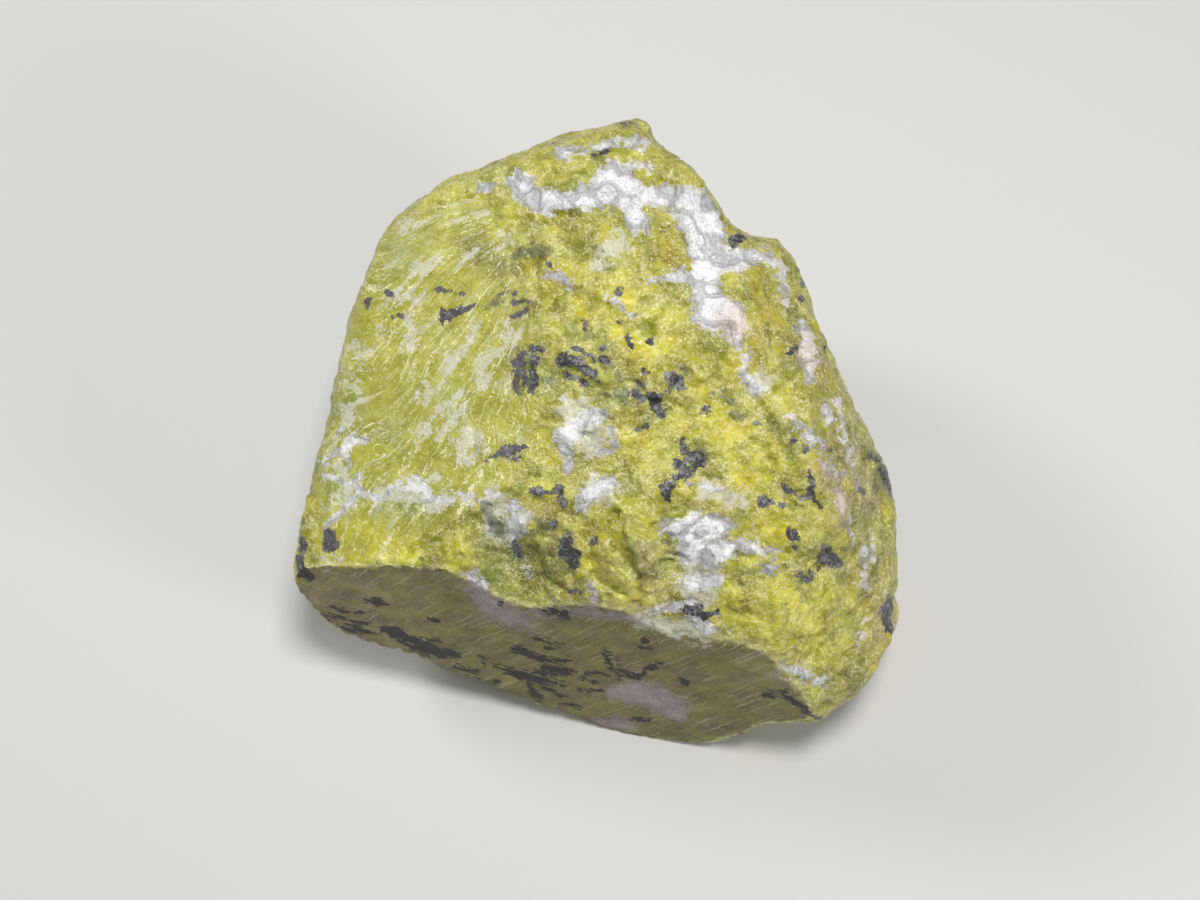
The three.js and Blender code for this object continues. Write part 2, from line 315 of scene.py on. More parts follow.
def ledge_lift(run, reach, x, y):
    """Up on the left hand of a run and down on its right hand, dying out away from it."""
    nearest = np.full(len(points), np.inf)
    signed = np.zeros(len(points))
    height = np.zeros(len(points))
    for start, end in zip(run, run[1:]):
        along, off_x, off_y = off_line(x, y, start, end)
        away = np.hypot(off_x, off_y) * STEP
        side = np.sign((end[0] - start[0]) * off_y - (end[1] - start[1]) * off_x)
        closer = away < nearest
        signed = np.where(closer, side * away, signed)
        height = np.where(closer, start[2] + along * (end[2] - start[2]), height)
        nearest = np.minimum(nearest, away)
    return -height * np.tanh(signed / LEDGE_EDGE) * np.exp(-nearest / reach) * in_view


ledge_x = view_x + sum(far * cloud(wave, 2) for wave, far in LEDGE_WANDER)
ledge_y = view_y + sum(far * cloud(wave, 2, (40, 9, 3)) for wave, far in LEDGE_WANDER)
step_out = sum(ledge_lift(run, reach, ledge_x, ledge_y) for run, reach in LEDGES.values())

# --- The saw cut ----------------------------------------------------------------------
# One side was sawn flat, through chips and hollows, so its rim is as ragged as the breaks that meet it.
# The rim slides within the cut's plane as far as the break beside it moved, and nothing stands past it.

RIM_SETTLES = 6  # rounds that spread the saw cut's grid out to its moved rim
LEAST_TURN = 0.3  # least squared sine of the turn from break to cut, which bounds the rim's slide
SHARP_RIM = 0.5  # radians, over which the rim is shaded as an edge
BREAK_SETTLE = 0.2  # one light round over the break

moved = points.copy()
moved[is_broken] += (normals * lift[:, None])[is_broken]
moved[is_broken, 2] += step_out[is_broken]
rim = []
for vertex in skin.verts:
    if is_broken[vertex.index]:
        continue
    beside = [e.other_vert(vertex).index for e in vertex.link_edges]
    beside = [i for i in beside if is_broken[i]]
    if beside:
        rim.append(vertex)
        break_faces = unit(normals[beside].mean(axis=0))
        shared = break_faces @ SAW_FACES
        in_plane = (break_faces - shared * SAW_FACES) / max(1 - shared ** 2, LEAST_TURN)
        shift = (moved[beside] - points[beside]).mean(axis=0) @ break_faces
        moved[vertex.index] += shift * in_plane
moved -= np.outer(np.maximum(above_saw(moved), 0), SAW_FACES)

for vertex, place in zip(skin.verts, placed(moved)):
    vertex.co = place
smooth(broken, 1, BREAK_SETTLE)
rim_set = set(rim)
smooth([v for v in skin.verts if not is_broken[v.index] and v not in rim_set], RIM_SETTLES)
for vertex in skin.verts:
    vertex.co.z = max(vertex.co.z, 0)
skin.normal_update()
for edge in skin.edges:
    on_rim = edge.verts[0] in rim_set and edge.verts[1] in rim_set
    edge.smooth = not (on_rim and edge.calc_face_angle(0) > SHARP_RIM)
for face in skin.faces:
    face.smooth = True
bmesh.ops.triangulate(skin, faces=[f for f in skin.faces if len(f.verts) > 4])
skin.to_mesh(stone.data)
skin.free()

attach(stone, "root")
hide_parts("lizardite")

# --- Black magnetite ------------------------------------------------------------------
# Grains and ragged patches of black magnetite are scattered through the rock. On the saw cut they are
# drawn out into thin lenses. Each is a stroke, and the finish gives it a ragged edge.

BLACK_ON_SHEARED = (
    ((438, 290, 2.2), (450, 291, 2), (464, 294, 0.8)),
    ((442, 308, 2), (443, 315, 3.6), (442, 324, 1.4)), ((446, 311, 3), (455, 311, 2.4)),
    ((446, 317, 3.6), (455, 314, 3.6), (464, 310, 3.4), (470, 307, 1.8), (475, 305, 0.7)),
    ((499, 295, 1), (505, 292, 1.7), (517, 294, 0.7)),
    ((514, 303, 1.2), (521, 301, 2), (529, 302, 0.8)),
    ((512, 317, 1), (519, 314, 2.4), (527, 309, 1.6)), ((367, 300, 2.6), (367, 308, 1.6)),
    ((385, 292, 1.6), (392, 295, 1.6)), ((393, 317, 1), (398, 315, 2), (403, 318, 1)),
    ((525, 354, 3), (516, 362, 3.4)), ((531, 349, 3.4), (542, 351, 3)),
    ((535, 358, 4), (533, 370, 6), (535, 384, 4), (532, 391, 3)),
    ((516, 374, 3), (517, 384, 3.6), (518, 391, 2.6)), ((525, 374, 3), (523, 390, 2)),
    ((521, 366, 2), (526, 363, 2)),
    ((487, 459, 1.6), (496, 455, 2.4), (505, 453, 5), (515, 449, 5), (527, 446, 1.2)),
    ((513, 460, 1.6), (521, 458, 2)), ((329, 534, 5), (330, 545, 8)), ((304, 541, 4), (303, 549, 4)),
    ((300, 560, 5), (302, 571, 6), (311, 577, 3)),
)
BLACK_ON_BROAD = (
    ((557, 354, 2.4), (562, 360, 5), (570, 361, 6.5), (580, 363, 6), (589, 371, 4.6), (599, 382, 1)),
    ((565, 375, 2), (572, 377, 2.6), (586, 383, 1.6)),
    ((576, 350, 1.3), (587, 355, 1.8), (595, 361, 1.2)),
    ((601, 357, 2.2), (608, 361, 2.6), (613, 369, 1.6)), ((585, 324, 2.6), (586, 332, 1.2)),
    ((618, 321, 2),), ((618, 292, 3),), ((551, 264, 1.8),), ((602, 348, 1.8),),
    ((625, 338, 1.6), (631, 346, 2.8), (639, 351, 1.6)), ((633, 353, 2.2),), ((650, 342, 3.2),),
    ((644, 369, 2.6), (652, 374, 2.6)), ((639, 382, 4),), ((633, 394, 3), (641, 400, 3)),
    ((668, 376, 3.5), (676, 380, 6), (681, 386, 4)), ((670, 386, 2.5), (667, 389, 2)),
    ((653, 396, 5), (656, 405, 8), (662, 415, 3)), ((638, 427, 4), (646, 425, 4)), ((707, 408, 5),),
    ((728, 383, 1.8),), ((682, 441, 2.5), (686, 451, 4), (696, 459, 7), (702, 464, 4)),
    ((696, 459, 5), (692, 470, 4), (678, 463, 4)), ((675, 478, 2.5), (690, 473, 2.5)),
    ((665, 480, 2), (667, 492, 4.5), (668, 500, 2)), ((659, 487, 2), (673, 489, 1.8)),
    ((762, 504, 3.5), (770, 503, 3.5)), ((783, 505, 1.6),),
    ((784, 487, 2.6), (790, 493, 3), (799, 497, 1.6)),
    ((808, 472, 2.2), (810, 485, 2.6), (811, 495, 4), (823, 509, 1.6)), ((804, 450, 2.5),),
    ((792, 442, 1.7),), ((834, 450, 2),), ((792, 534, 6),), ((795, 546, 3),),
    ((826, 549, 5), (821, 559, 7), (832, 558, 8), (841, 563, 3)), ((818, 569, 2.2),),
    ((842, 547, 2.2),), ((797, 573, 2.5), (804, 579, 3.5), (811, 578, 3), (812, 572, 2.5)),
    ((759, 424, 1.6),), ((531, 490, 2), (547, 494, 3.5), (559, 490, 6), (563, 502, 4), (563, 508, 1.6)),
    ((555, 525, 2.5),), ((569, 539, 5), (566, 549, 7), (573, 555, 8), (572, 567, 5)),
    ((595, 541, 2.5),), ((516, 545, 2.5), (519, 556, 2)),
    ((563, 586, 1.6), (572, 591, 1.6), (582, 592, 1.6)), ((684, 531, 2.5),),
    ((684, 611, 3), (698, 611, 6), (704, 616, 4), (717, 611, 2)),
    ((890, 600, 4), (887, 616, 7), (891, 632, 5)), ((873, 454, 3.5), (880, 461, 4)),
    ((880, 470, 3), (887, 480, 5), (891, 492, 4)), ((861, 492, 3),), ((793, 350, 4),), ((826, 346, 4),),
    ((802, 299, 3),), ((804, 284, 2.2),), ((594, 157, 2.5), (602, 152, 3.5), (610, 149, 1.6)),
    ((618, 121, 2.5), (631, 120, 3)), ((733, 243, 5), (740, 239, 5)),
)
BLACK_ON_SAW_CUT = (
    ((368, 600, 1.2), (378, 602, 3.4), (386, 604, 1.2)), ((339, 611, 0.8), (362, 613, 1)),
    ((325, 614, 1.6), (347, 620, 1.8), (370, 625, 1)), ((332, 608, 0.8), (350, 611, 1)),
    ((337, 627, 1.4), (355, 631, 1.2)), ((345, 624, 1), (362, 631, 1.4), (380, 633, 1)),
    ((380, 628, 2), (394, 631, 3.6), (411, 640, 4.4), (427, 648, 5.6), (443, 653, 4.6), (458, 656, 3)),
    ((392, 636, 1.6), (412, 647, 2.4), (430, 655, 2)), ((419, 639, 1), (441, 642, 1.2)),
    ((427, 620, 1), (437, 620, 1.2)), ((502, 603, 2.4),),
    ((543, 611, 1.4), (556, 612, 2.2), (568, 619, 1)), ((549, 608, 0.8), (566, 613, 1.2)),
    ((535, 638, 1), (549, 642, 1.8), (562, 648, 0.8)), ((545, 648, 0.8), (560, 649, 0.8)),
    ((513, 649, 2.4), (521, 649, 3.8), (530, 655, 3), (541, 659, 3.4), (555, 661, 1.8),
     (572, 661, 0.8)),
    ((494, 667, 1), (508, 671, 2.6), (522, 676, 4.4), (538, 679, 3.2), (552, 682, 1.8), (566, 686, 1)),
    ((543, 667, 2.4), (552, 671, 4), (566, 671, 3.8), (574, 674, 2)), ((536, 672, 2), (546, 674, 3)),
    ((528, 684, 1.4), (534, 693, 4), (541, 697, 2.4)),
    ((540, 686, 0.8), (556, 693, 0.8), (564, 696, 0.6)),
    ((586, 673, 1.2), (596, 673, 1), (608, 675, 0.8)), ((580, 678, 0.8), (594, 681, 0.8)),
    ((580, 690, 0.7), (604, 692, 0.7)), ((455, 667, 1), (466, 670, 2), (476, 672, 1.6)),
    ((470, 678, 1.2), (486, 683, 2.4), (500, 682, 1.4)),
    ((474, 688, 1.6), (488, 690, 3), (498, 694, 3.8), (508, 694, 3)), ((485, 662, 2.6),),
    ((480, 656, 0.8), (492, 664, 1)), ((603, 652, 1.4), (606, 658, 2), (612, 667, 1.8), (620, 679, 1)),
    ((607, 652, 1), (615, 658, 1.6), (619, 667, 1.6), (628, 675, 2.2), (638, 678, 2.8),
     (644, 672, 1.6)),
    ((644, 669, 2), (653, 667, 2.8), (660, 664, 1)), ((645, 641, 3.2),), ((640, 645, 1), (650, 647, 1)),
    ((678, 681, 1.4), (688, 683, 1)), ((634, 719, 1.4), (650, 720, 1)),
    ((560, 704, 0.8), (580, 707, 0.8)),
    ((762, 694, 1.6), (784, 694, 2), (797, 705, 2.6), (819, 717, 1.8)),
)
# Grey-green magnetite that shows through a thin cover.
GREY = (
    ((492, 305, 2.5), (499, 301, 2.5), (507, 299, 1)), ((620, 378, 3.5),), ((608, 394, 4.5),),
    ((612, 390, 3), (622, 393, 4), (636, 393, 3)), ((626, 401, 3), (640, 403, 3)),
    ((646, 411, 2.5), (648, 420, 2.5)),
    ((713, 394, 2.5), (724, 394, 3.5), (731, 402, 3), (735, 415, 2.5), (742, 416, 3)), ((685, 370, 3),),
    ((484, 506, 6), (496, 520, 7), (500, 534, 5)), ((536, 528, 6), (544, 523, 5)), ((667, 542, 4),),
    ((884, 480, 9),), ((518, 252, 3), (535, 252, 8), (553, 252, 3)), ((548, 372, 3), (548, 386, 4)),
    ((520, 358, 6), (530, 385, 6)), ((700, 455, 9), (690, 470, 8)),
)

# --- White talc and carbonate ---------------------------------------------------------
# Chalky white veins and crusts fill old cracks. One broad band crosses the top, with islands of green
# rock in it, and a net of thin veins runs over the lower part of the sheared face.

WHITE = (
    ((561, 153, 6), (576, 150, 4), (590, 148, 2), (604, 145, 2), (618, 142, 1.5)),
    ((630, 143, 4), (643, 146, 5)), ((482, 186, 5), (492, 184, 3)),
    ((507, 181, 4), (520, 187, 10), (530, 197, 11), (544, 203, 12), (549, 213, 4)),
    ((515, 174, 5), (530, 183, 5)), ((544, 198, 11), (560, 199, 10), (587, 198, 12), (606, 192, 15)),
    ((604, 186, 14), (613, 171, 11), (625, 172, 9)), ((612, 190, 18), (630, 192, 14)),
    ((625, 164, 4), (648, 167, 3)), ((630, 203, 13), (636, 221, 10), (648, 229, 4)),
    ((645, 197, 9), (668, 197, 11), (684, 201, 13), (700, 206, 15)),
    ((690, 215, 15), (704, 224, 18), (708, 240, 19), (706, 254, 19)), ((712, 256, 17), (735, 262, 12)),
    ((742, 257, 8), (762, 255, 7), (776, 264, 5), (784, 278, 3)),
    ((653, 281, 2), (672, 278, 5), (690, 274, 7)), ((702, 270, 15), (705, 290, 15), (711, 308, 18)),
    ((712, 314, 18), (731, 314, 15), (733, 327, 13), (738, 345, 5)), ((783, 285, 2.5), (784, 304, 2)),
    ((748, 358, 4),), ((744, 374, 6), (756, 392, 5)),
    ((802, 324, 5), (804, 343, 7), (808, 363, 8), (808, 380, 4)), ((824, 408, 4), (831, 420, 5)),
    ((839, 430, 1.6), (843, 443, 1.6)), ((834, 398, 1), (846, 445, 1.2), (855, 490, 1)),
    ((822, 462, 2), (832, 472, 3), (842, 474, 2)), ((838, 492, 1.5), (842, 508, 3)),
    ((862, 548, 1), (866, 590, 1.4)), ((872, 530, 1), (874, 560, 1.2)), ((858, 640, 2), (864, 620, 1)),
    ((850, 520, 1.5), (852, 545, 1)), ((787, 417, 2), (802, 430, 3), (817, 439, 7), (821, 447, 4)),
    ((598, 414, 8), (580, 424, 8), (562, 438, 9), (567, 455, 6), (569, 469, 4)),
    ((610, 430, 3), (614, 447, 3), (602, 455, 3)), ((565, 397, 4),),
    ((606, 484, 6), (590, 494, 8), (581, 506, 6)), ((513, 503, 6), (518, 520, 8), (514, 540, 5)),
    ((527, 572, 4),), ((478, 502, 3), (490, 496, 3), (500, 494, 2)), ((482, 520, 2), (490, 528, 2)),
    ((541, 275, 2), (556, 277, 3), (575, 288, 2)), ((606, 296, 2), (634, 316, 2.5)),
    ((692, 485, 2), (712, 488, 3), (728, 494, 2)), ((668, 530, 8), (696, 531, 18), (720, 527, 13)),
    ((690, 549, 11), (712, 554, 14), (732, 546, 9), (752, 545, 5), (779, 551, 2.5)),
    ((763, 568, 5), (772, 568, 4)), ((693, 582, 8), (714, 579, 7)),
    ((661, 611, 6), (687, 606, 8), (709, 630, 7)), ((590, 586, 3), (593, 600, 3)),
    ((500, 611, 2), (527, 614, 2), (588, 611, 3), (629, 619, 3), (650, 622, 3)),
    ((371, 439, 2), (361, 441, 2.5), (353, 443, 3.5), (343, 450, 4.5), (333, 455, 2.5), (322, 462, 2)),
    ((339, 431, 1.5), (345, 441, 2)),
    ((343, 452, 2.5), (347, 460, 1.5), (353, 470, 1.2), (353, 479, 3), (358, 488, 4.5), (360, 496, 4)),
    ((326, 476, 1.5), (338, 479, 1.5), (350, 484, 2)),
    ((357, 498, 2.5), (347, 505, 1.8), (337, 513, 2), (328, 522, 1.8), (324, 530, 1.5)),
    ((362, 494, 2), (374, 497, 2), (378, 504, 2.5), (386, 498, 1.5), (398, 490, 1.5), (412, 486, 4),
     (422, 487, 5), (430, 497, 4.5), (436, 504, 2)),
    ((392, 488, 1.2), (410, 480, 1.5), (418, 478, 2)),
    ((436, 502, 2), (452, 500, 1.5), (468, 494, 1.5), (488, 492, 1.5)),
    ((378, 506, 1.5), (376, 514, 1)),
)
BRIGHT_WHITE = (
    ((690, 215, 14), (712, 245, 18), (706, 285, 14), (702, 310, 8)),
    ((698, 531, 20), (712, 552, 16), (745, 546, 9)), ((612, 178, 8),), ((690, 582, 8), (714, 579, 8)),
    ((661, 611, 6), (709, 628, 7)), ((343, 450, 6), (330, 457, 4)), ((357, 490, 5),),
    ((412, 487, 6), (430, 497, 6)), ((592, 418, 4), (568, 432, 5)), ((810, 360, 3),), ((516, 520, 4),),
)
GREEN_ISLANDS = (
    ((657, 173, 9), (673, 174, 14), (691, 180, 9)), ((653, 213, 6), (664, 221, 8), (671, 235, 11)),
    ((668, 240, 13), (672, 257, 12)), ((731, 288, 9), (741, 292, 8)),
    ((762, 278, 8), (768, 300, 14), (766, 330, 13), (758, 352, 9)), ((530, 163, 7), (545, 161, 8)),
    ((562, 172, 8), (580, 173, 12)), ((496, 168, 8), (503, 186, 6)),
)
# Thin, hazy white that the rock shows through.
HAZE = (
    ((346, 385, 6), (362, 392, 6)), ((346, 408, 5), (349, 422, 5)), ((330, 560, 7),),
    ((474, 330, 3), (458, 352, 6), (440, 380, 2)), ((490, 345, 3), (484, 362, 7), (480, 380, 5)),
    ((513, 328, 3), (506, 342, 5), (497, 358, 3)), ((409, 322, 5), (408, 346, 7)),
    ((380, 330, 4), (372, 350, 5)), ((357, 345, 5), (364, 362, 5)), ((432, 385, 5), (427, 398, 5)),
    ((461, 394, 2), (436, 414, 3), (411, 431, 2)), ((460, 408, 2), (446, 430, 3), (440, 440, 2)),
    ((417, 430, 4), (440, 434, 5)), ((476, 436, 8), (462, 446, 9), (458, 462, 5)),
    ((484, 446, 4), (470, 466, 4)), ((436, 476, 4),), ((455, 220, 2), (482, 213, 3)),
    ((412, 272, 3), (424, 266, 6), (438, 259, 3)), ((496, 246, 2), (508, 236, 3)),
    ((466, 258, 3), (478, 250, 4)), ((404, 225, 6), (412, 220, 6)), ((398, 295, 2), (420, 296, 2)),
    ((620, 240, 9), (600, 262, 8)), ((575, 410, 16), (590, 440, 18)), ((600, 490, 16),),
    ((700, 540, 26), (700, 590, 20)), ((705, 490, 10), (740, 500, 8)),
    ((385, 498, 8), (410, 492, 9), (435, 503, 9), (470, 496, 6)),
    ((335, 462, 5), (350, 480, 7), (345, 503, 7)), ((345, 415, 5), (350, 435, 5)),
    ((495, 505, 16), (500, 530, 12)), ((520, 520, 14),), ((760, 380, 10),),
    ((640, 620, 8), (700, 630, 12)), ((800, 672, 8), (822, 682, 6)),
)
# White, grey and lilac crusts cut through by the saw.
CRUST_ON_SAW_CUT = (
    ((612, 692, 6), (639, 692, 12), (661, 700, 14), (677, 710, 12)),
    ((596, 722, 5), (615, 724, 6), (634, 726, 4)),
    ((472, 578, 7), (484, 602, 10), (496, 611, 11), (515, 619, 9), (525, 623, 6)),
    ((525, 711, 3), (560, 722, 3), (607, 733, 3)), ((784, 665, 3), (803, 675, 3), (821, 684, 3)),
)
CRUST_HAZE = (
    ((746, 668, 6), (785, 676, 9), (821, 686, 5)), ((500, 600, 14), (520, 622, 12)),
)

# --- Tints ----------------------------------------------------------------------------
# The green rock itself runs from amber through yellow to bluish green, and iron stains it brown in
# places. Some tints carry painted light and shade as well: darker olive in hollows, a darker flank,
# brighter yellow on lit facets, a bluish painted reflection and a painted shadow beside the spur.
# Each tint is a set of soft strokes that the rock's colours below lay over the green.

# Painted shade: darker olive laid into the recess, the hollow, under the brow and along creases, where
# shade falls.
PAINTED_SHADE_IN_HOLLOWS = (
    ((502, 535, 10), (520, 560, 16), (532, 590, 10)), ((548, 575, 8), (562, 598, 8), (588, 604, 6)),
    ((600, 517, 5), (625, 528, 6)), ((548, 520, 6), (552, 545, 8)), ((520, 360, 16), (560, 395, 10)),
    ((700, 560, 8), (690, 596, 8), (672, 600, 6)), ((790, 508, 7),), ((474, 250, 14), (500, 262, 10)),
)
AMBER = (
    ((668, 240, 13), (672, 262, 11)), ((757, 275, 8), (765, 300, 14), (765, 330, 12), (757, 355, 9)),
    ((575, 222, 6),), ((520, 268, 8),), ((621, 415, 10),), ((550, 505, 10), (575, 515, 8)),
    ((735, 355, 8),), ((700, 505, 8), (725, 505, 6)),
)
# Partly yellow rock, partly painted light: brighter yellow on the lit face of the spur, the lit bulge low
# on the sheared face and the lit rise to its right.
YELLOW_AND_PAINTED_LIGHT = (
    ((560, 290, 22), (620, 310, 26), (650, 350, 26)), ((700, 420, 26), (760, 470, 34), (770, 520, 24)),
    ((610, 540, 16), (625, 590, 14)), ((740, 600, 26), (800, 620, 40), (850, 620, 26), (800, 650, 20)),
    ((350, 520, 16), (380, 545, 16), (440, 560, 12)), ((640, 440, 26),), ((540, 485, 12),),
)
# Partly bluish-green rock, partly a painted reflection: the bluish cast low on the left of the sheared
# face stands for a pale sky reflected there.
BLUISH_AND_PAINTED_REFLECTION = (
    ((350, 410, 14),), ((390, 425, 14),), ((335, 480, 16), (350, 505, 10)),
    ((385, 500, 14), (420, 505, 14), (440, 500, 10)), ((490, 530, 16), (505, 560, 16), (490, 580, 10)),
    ((545, 375, 10),), ((625, 398, 16),), ((600, 440, 12),), ((400, 250, 18),), ((450, 400, 16),),
)
# Partly grey-brown rock, partly painted shade: the right flank, turned away from the light, is laid
# darker.
FLANK_GREY_AND_SHADE = (
    ((796, 320, 12), (832, 400, 14), (858, 470, 16), (868, 560, 16), (868, 630, 14), (852, 690, 12)),
)
# Mostly iron stains, but the stroke down the right side of the spur is a painted shadow, brown-grey where
# that side lies in shade.
RUST_STAINS_AND_SHADE = (
    ((820, 470, 8), (845, 490, 8), (840, 520, 6)), ((826, 480, 8),), ((845, 568, 8),),
    ((867, 502, 10),), ((878, 590, 6), (880, 640, 6)), ((640, 545, 8), (655, 590, 8)),
    ((560, 548, 10),), ((505, 452, 5),), ((735, 325, 12),), ((804, 350, 12),), ((645, 700, 16),),
    ((615, 724, 7),), ((560, 615, 6), (640, 620, 6)),
)

# --- The sides that the broad face hides ----------------------------------------------
# Round the back and underneath the same rock goes on. Veins of white are wavy sheets that cut through the
# lump, crusts are cloudy patches, and magnetite lies in seeded clusters of short grains.

VEINS = (  # which way the sheet of a vein faces, a point in it, and its half thickness in mm
    ((0.30, 0.80, 0.52), (30, 38, 10), 3.2),
    ((0.75, -0.20, -0.63), (62, -8, -8), 1.6),
    ((-0.55, 0.70, 0.45), (-40, 30, -22), 1.2),
    ((0.15, 0.25, -0.95), (0, 20, -34), 1.8),
    ((-0.85, -0.45, 0.30), (-20, 0, -30), 0.9),
)
VEIN_WANDER = (17, 7)  # mm wave, mm either way
VEIN_SWELLING = (11, 0.7, 1.6)  # mm wave, the vein's usual share of its thickness, and how much it swells
PATCHES = (15, 0.42)  # mm across, and how high the clouds stand where a crust sets in
GRAIN_SEED = 11
GRAIN_CLUSTERS = 64
CLUSTER_GRAINS = (1, 4)
CLUSTER_SPREAD = 3  # mm
OUT_OF_VIEW = 0.05  # a corner whose normal faces the view less than this can hold a cluster
GRAIN_LENGTH = (0.8, 6.5)  # mm
GRAIN_HALF = (0.4, 1.7)  # mm

hidden_white = (PATCHES[1] - cloud(PATCHES[0], 4, (9, 2, 5), 0.9)) * PATCHES[0]
vein_wander = VEIN_WANDER[1] * cloud(VEIN_WANDER[0], 3)
swelling = VEIN_SWELLING[1] + VEIN_SWELLING[2] * cloud(VEIN_SWELLING[0], 1, (3, 3, 30))
for vein_faces, through, half in VEINS:
    sheet_gap = np.abs((points - through) @ unit(vein_faces) + vein_wander)
    hidden_white = np.minimum(hidden_white, sheet_gap - half * swelling)
hidden_white = np.clip(hidden_white + in_view * FAR, -FAR, FAR)

random.seed(GRAIN_SEED)
hidden = np.flatnonzero(facing < OUT_OF_VIEW)
hidden_black = np.full(len(points), FAR)
for _ in range(GRAIN_CLUSTERS):
    cluster = points[random.choice(hidden)]
    for _ in range(random.randint(*CLUSTER_GRAINS)):
        start = cluster + np.array([random.gauss(0, CLUSTER_SPREAD) for _ in range(3)])
        way = unit([random.gauss(0, 1) for _ in range(3)])
        length = random.uniform(*GRAIN_LENGTH)
        half = random.uniform(*GRAIN_HALF)
        along = np.clip((points - start) @ way, 0, length)
        away = np.linalg.norm(points - start - along[:, None] * way, axis=1)
        hidden_black = np.minimum(hidden_black, away - half)
hidden_black = np.clip(hidden_black + in_view * FAR, -FAR, FAR)

# --- The rock's colours ---------------------------------------------------------------
# Every corner of the skin gets the colour of the green rock there, the colour that white has there, and
# its distance in mm from each kind of mark. The finish below draws the edges of the marks from those.


def colour(red, green, blue):
    """A colour given as a paint chart does, 0 to 255, as the share of light that it sends back."""
    return np.array([((c / 255 + 0.055) / 1.055) ** 2.4 for c in (red, green, blue)])


BROKEN_GREEN = colour(178, 172, 68)
SHEARED_GREEN = colour(168, 165, 62)
OLIVE = colour(158, 154, 66)
PALE_GREEN = colour(196, 193, 110)
# The sawn colours are laid far darker than the broken rock: partly the dull sawn face, partly painted
# shade, as the cut lies in shade.
SAWN_GREEN_DULL_AND_SHADED = colour(124, 117, 62)
SAWN_OLIVE_DULL_AND_SHADED = colour(122, 116, 62)
SAWN_GREY = colour(150, 144, 118)
SAWN_TAN = colour(150, 135, 92)
TAN_END = (480, 370)  # steps across the view: tan sets in at the first and is full at the second
CHALK = colour(218, 218, 223)
BRIGHT_CHALK = colour(234, 234, 235)
RUSTY_CHALK = colour(214, 202, 194)
HIDDEN_CHALK = colour(202, 194, 180)
SAWN_CHALK_DULL_AND_SHADED = colour(158, 148, 146)
SAW_EDGE = (-0.6, -0.1)  # mm out from the cut's plane: sawn rock sets in at the first, full at the second
HAZE_ROUND_WHITE = 1.5  # mm, how far haze spreads round the veins and crusts of the hidden sides
TINTS = (  # strokes, colour, how strong, and over how many mm it fades
    # painted shade: darker olive in the hollows
    (PAINTED_SHADE_IN_HOLLOWS, colour(126, 124, 58), 0.75, 3),
    # partly painted shade on the right flank
    (FLANK_GREY_AND_SHADE, colour(142, 132, 84), 0.75, 5),
    # partly painted light on lit facets
    (YELLOW_AND_PAINTED_LIGHT, colour(203, 194, 62), 0.6, 4),
    (AMBER, colour(172, 157, 48), 0.75, 1.5),
    # partly a painted reflection low on the sheared face
    (BLUISH_AND_PAINTED_REFLECTION, colour(152, 163, 104), 0.6, 3.5),
    # iron stains, and a painted shadow beside the spur
    (RUST_STAINS_AND_SHADE, colour(158, 138, 108), 0.7, 2.5),
)
HIDDEN_TINTS = (  # colour, how strong, then its clouds: mm wave, octaves, place, and where they set in
    (colour(178, 153, 44), 0.5, 14, 2, (1, 8, 2), (0.25, 0.5)),
    (colour(152, 163, 104), 0.5, 18, 2, (7, 1, 4), (0.2, 0.5)),
    (colour(170, 146, 116), 0.4, 10, 3, (4, 1, 9), (0.35, 0.6)),
)


def tint(base, towards_colour, share):
    """Colours drawn towards another by a share, point by point."""
    return base + (towards_colour - base) * share[:, None]


cloudy = cloud(9, 3, (2, 7, 1))
patchy = cloud(3.2, 3, (6, 6, 2))
on_saw = ramp(above_saw(points), *SAW_EDGE)
hidden_share = 1 - in_view

tone = tint(np.tile(BROKEN_GREEN, (len(points), 1)), SHEARED_GREEN, sheared)
tone = tint(tone, OLIVE, ramp(cloudy + 0.6 * patchy, 0.0, 0.7) * 0.6)
tone = tint(tone, PALE_GREEN, ramp(-cloudy + 0.8 * patchy, 0.1, 0.8) * 0.5)
for strokes, tint_colour, strength, fade in TINTS:
    gap = gap_to(strokes) + fade * 0.8 * patchy + fade * 0.6 * cloudy
    tone = tint(tone, tint_colour, strength * ramp(gap, fade, -fade))
for tint_colour, strength, wave, octaves, shift, sets_in in HIDDEN_TINTS:
    clouds = ramp(cloud(wave, octaves, shift), *sets_in)
    tone = tint(tone, tint_colour, strength * hidden_share * clouds)

# The saw cut's tone, darker partly for its dullness and partly as painted shade.
sawn_tone_with_shade = np.tile(SAWN_GREEN_DULL_AND_SHADED, (len(points), 1))
sawn_tone_with_shade = tint(sawn_tone_with_shade, SAWN_OLIVE_DULL_AND_SHADED, ramp(cloudy + patchy, -0.1, 0.7))
sawn_tone_with_shade = tint(sawn_tone_with_shade, SAWN_GREY, ramp(gap_to(CRUST_HAZE) + 2 * patchy, 3, -3) * 0.7)
sawn_tone_with_shade = tint(sawn_tone_with_shade, SAWN_TAN, 0.5 * ramp(view_x, *TAN_END))
tone = tone + (sawn_tone_with_shade - tone) * on_saw[:, None]

white_tone = np.tile(CHALK, (len(points), 1))
white_tone = tint(white_tone, BRIGHT_CHALK, ramp(gap_to(BRIGHT_WHITE) + 2 * patchy, 3, -3))
# Chalk near these strokes is tinted too, in the painted shadow beside the spur as well.
white_tone = tint(white_tone, RUSTY_CHALK, ramp(gap_to(RUST_STAINS_AND_SHADE) + 3 * patchy, 5, -1))
white_tone = tint(white_tone, HIDDEN_CHALK, hidden_share * ramp(cloud(16, 2, (8, 8, 8)), -0.3, 0.4))
# White on the cut is darker too: partly dull, partly painted shade.
white_tone = tint(white_tone, SAWN_CHALK_DULL_AND_SHADED, on_saw)

